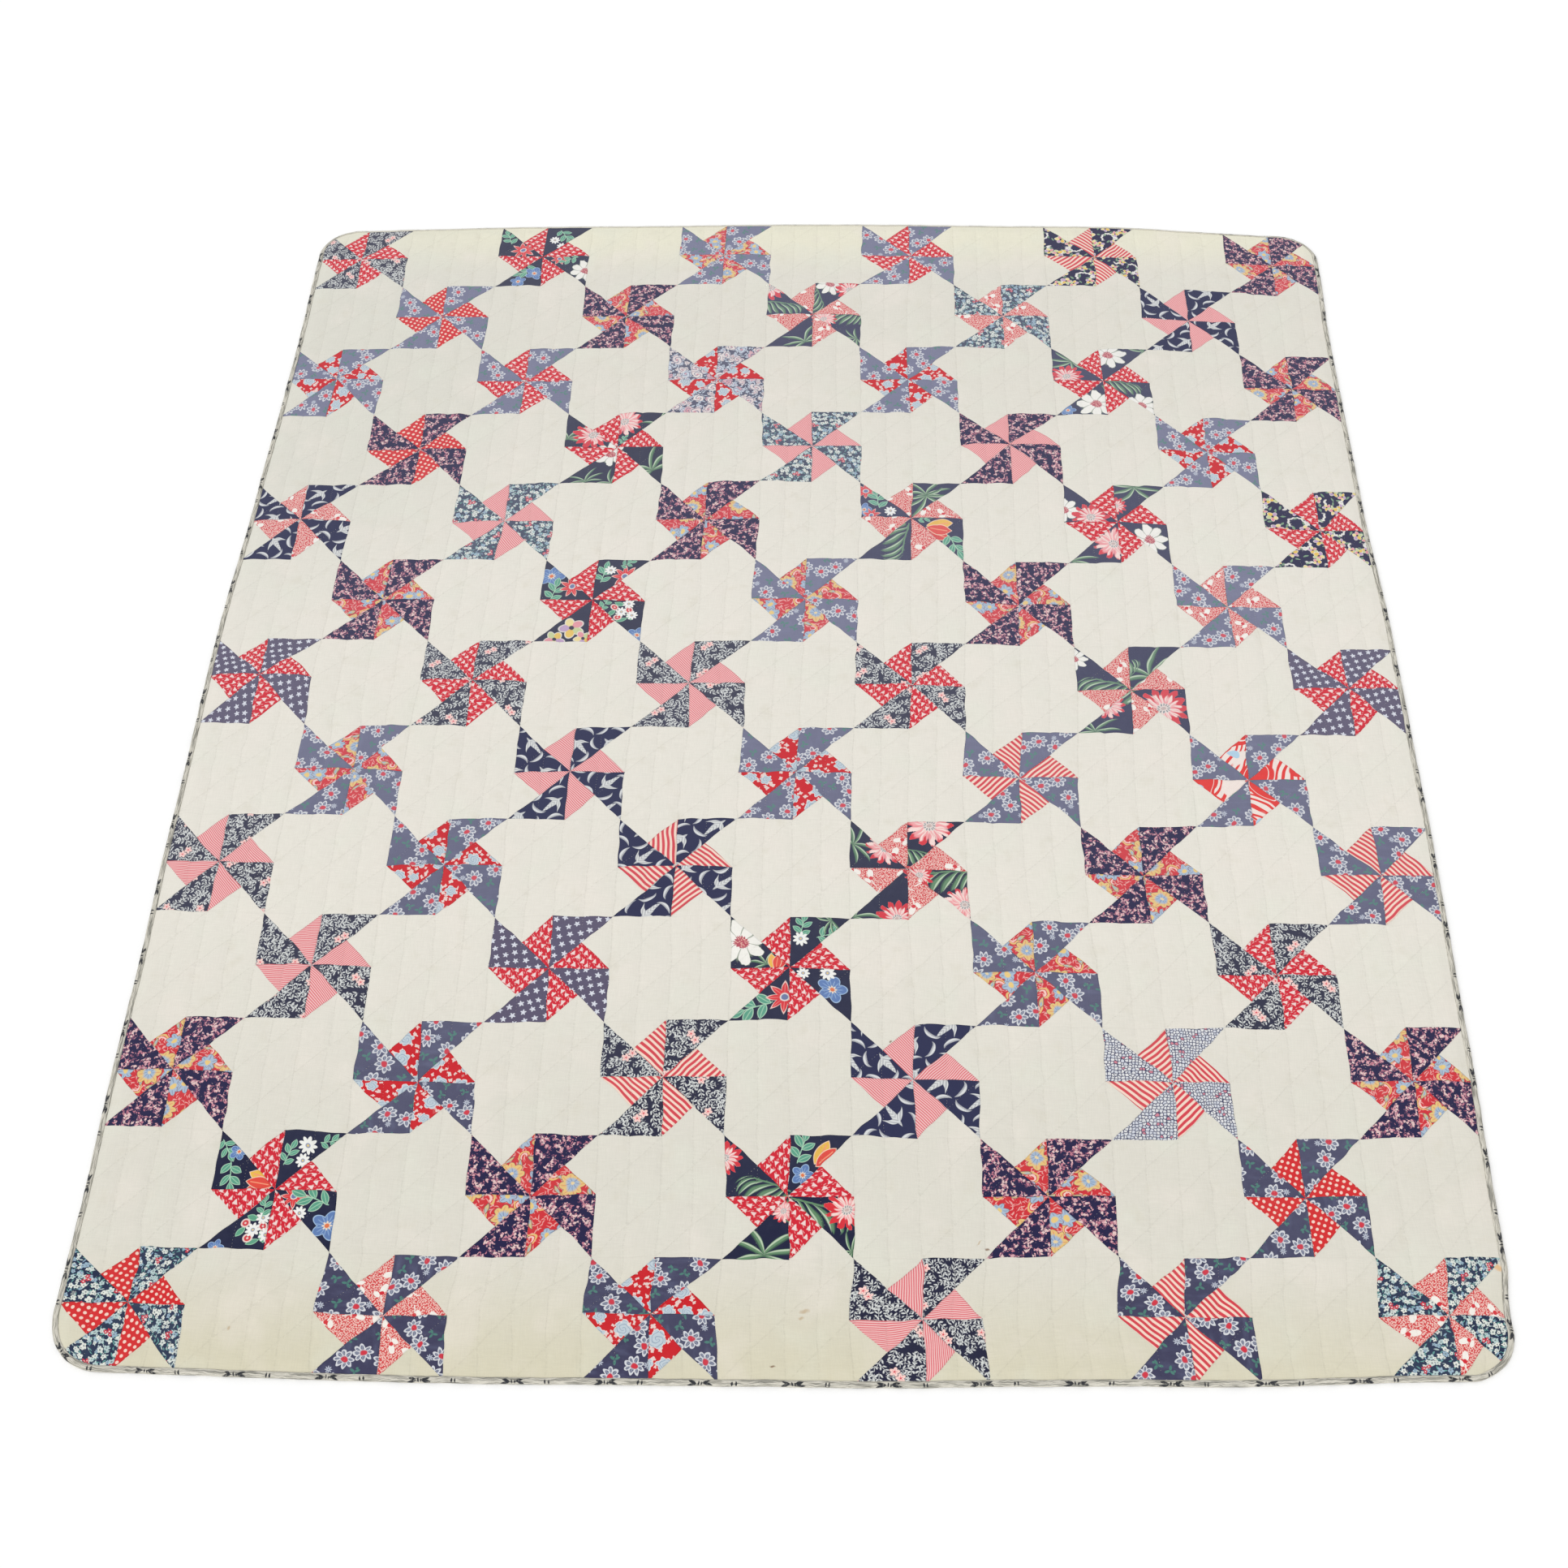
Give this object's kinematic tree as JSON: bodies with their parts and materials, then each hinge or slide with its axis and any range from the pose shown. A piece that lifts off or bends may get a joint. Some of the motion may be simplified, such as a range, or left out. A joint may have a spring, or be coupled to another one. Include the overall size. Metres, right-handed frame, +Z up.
{
  "type": "patchwork quilt",
  "caption": "Flat-lying patchwork quilt of pinwheel and plain squares, quilted through and bound round its edge.",
  "frame": {"origin": "under the middle of the bounding box, on the surface that the quilt lies on", "axes": "+Z up from that surface, +Y along the quilt's length towards its far edge, +X across its width to the right"},
  "size_m": [1.8168, 2.146, 0.0072],
  "materials": {
    "patchwork": "washed printed and plain cotton, matt, softly puckered by the quilting",
    "binding": "printed cotton binding, matt, with dark sprigs on grey and cream"
  },
  "bodies": {
    "root": {"quilt_body": "patchwork", "binding": "binding"}
  },
  "joints": []
}
